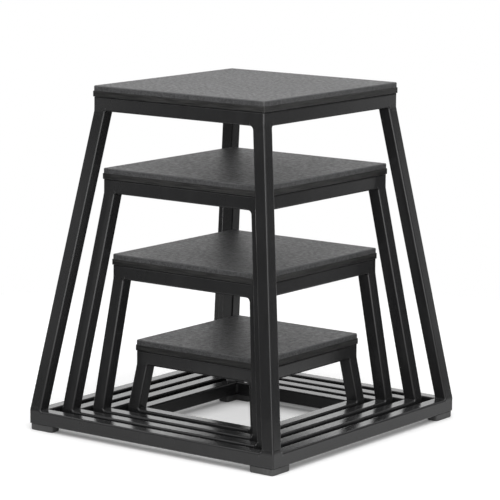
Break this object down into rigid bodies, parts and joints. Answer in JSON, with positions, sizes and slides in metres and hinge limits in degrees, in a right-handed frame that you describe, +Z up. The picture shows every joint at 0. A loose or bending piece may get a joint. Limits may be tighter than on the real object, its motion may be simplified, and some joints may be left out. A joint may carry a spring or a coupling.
{
  "type": "nested plyo box set",
  "caption": "Nested set of open steel plyo boxes: leaning tube legs between a base ring on rubber feet and a top ring, with a plywood deck and rubber mat on each.",
  "frame": {"origin": "on the floor under the middle of the tallest box's base ring", "axes": "+Z up, +X to the right along the shorter side of the base, +Y to the back"},
  "size_m": [0.524, 0.544, 0.6],
  "materials": {
    "coated_steel": "semi-gloss black powder coat with a fine orange peel",
    "painted_plywood": "black paint on plywood, with the plies showing faintly along the edge",
    "rubber_mat": "matt black rubber with a fine pebbled grain",
    "rubber_feet": "matt moulded black rubber",
    "screw_steel": "zinc-plated pan head"
  },
  "bodies": {
    "box15": {"box15_base_rails_front_back": "coated_steel", "box15_base_rails_left_right": "coated_steel", "box15_leg_front_left": "coated_steel", "box15_leg_front_right": "coated_steel", "box15_leg_back_right": "coated_steel", "box15_leg_back_left": "coated_steel", "box15_top_rail_front": "coated_steel", "box15_top_rail_right": "coated_steel", "box15_top_rail_back": "coated_steel", "box15_top_rail_left": "coated_steel", "box15_deck_board": "painted_plywood", "box15_mat": "rubber_mat", "box15_feet": "rubber_feet", "box15_foot_screws": "screw_steel", "box15_deck_screws": "screw_steel"},
    "box30": {"box30_base_rails_front_back": "coated_steel", "box30_base_rails_left_right": "coated_steel", "box30_leg_front_left": "coated_steel", "box30_leg_front_right": "coated_steel", "box30_leg_back_right": "coated_steel", "box30_leg_back_left": "coated_steel", "box30_top_rail_front": "coated_steel", "box30_top_rail_right": "coated_steel", "box30_top_rail_back": "coated_steel", "box30_top_rail_left": "coated_steel", "box30_deck_board": "painted_plywood", "box30_mat": "rubber_mat", "box30_feet": "rubber_feet", "box30_foot_screws": "screw_steel", "box30_deck_screws": "screw_steel"},
    "box45": {"box45_base_rails_front_back": "coated_steel", "box45_base_rails_left_right": "coated_steel", "box45_leg_front_left": "coated_steel", "box45_leg_front_right": "coated_steel", "box45_leg_back_right": "coated_steel", "box45_leg_back_left": "coated_steel", "box45_top_rail_front": "coated_steel", "box45_top_rail_right": "coated_steel", "box45_top_rail_back": "coated_steel", "box45_top_rail_left": "coated_steel", "box45_deck_board": "painted_plywood", "box45_mat": "rubber_mat", "box45_feet": "rubber_feet", "box45_foot_screws": "screw_steel", "box45_deck_screws": "screw_steel"},
    "box60": {"box60_base_rails_front_back": "coated_steel", "box60_base_rails_left_right": "coated_steel", "box60_leg_front_left": "coated_steel", "box60_leg_front_right": "coated_steel", "box60_leg_back_right": "coated_steel", "box60_leg_back_left": "coated_steel", "box60_top_rail_front": "coated_steel", "box60_top_rail_right": "coated_steel", "box60_top_rail_back": "coated_steel", "box60_top_rail_left": "coated_steel", "box60_deck_board": "painted_plywood", "box60_mat": "rubber_mat", "box60_feet": "rubber_feet", "box60_foot_screws": "screw_steel", "box60_deck_screws": "screw_steel"}
  },
  "joints": [
    {"name": "box30_lift", "type": "slide", "parent": "box15", "child": "box30", "axis": [0, 0, 1], "range_m": [0, 0.2]},
    {"name": "box45_lift", "type": "slide", "parent": "box30", "child": "box45", "axis": [0, 0, 1], "range_m": [0, 0.35]},
    {"name": "box60_lift", "type": "slide", "parent": "box45", "child": "box60", "axis": [0, 0, 1], "range_m": [0, 0.5]}
  ]
}
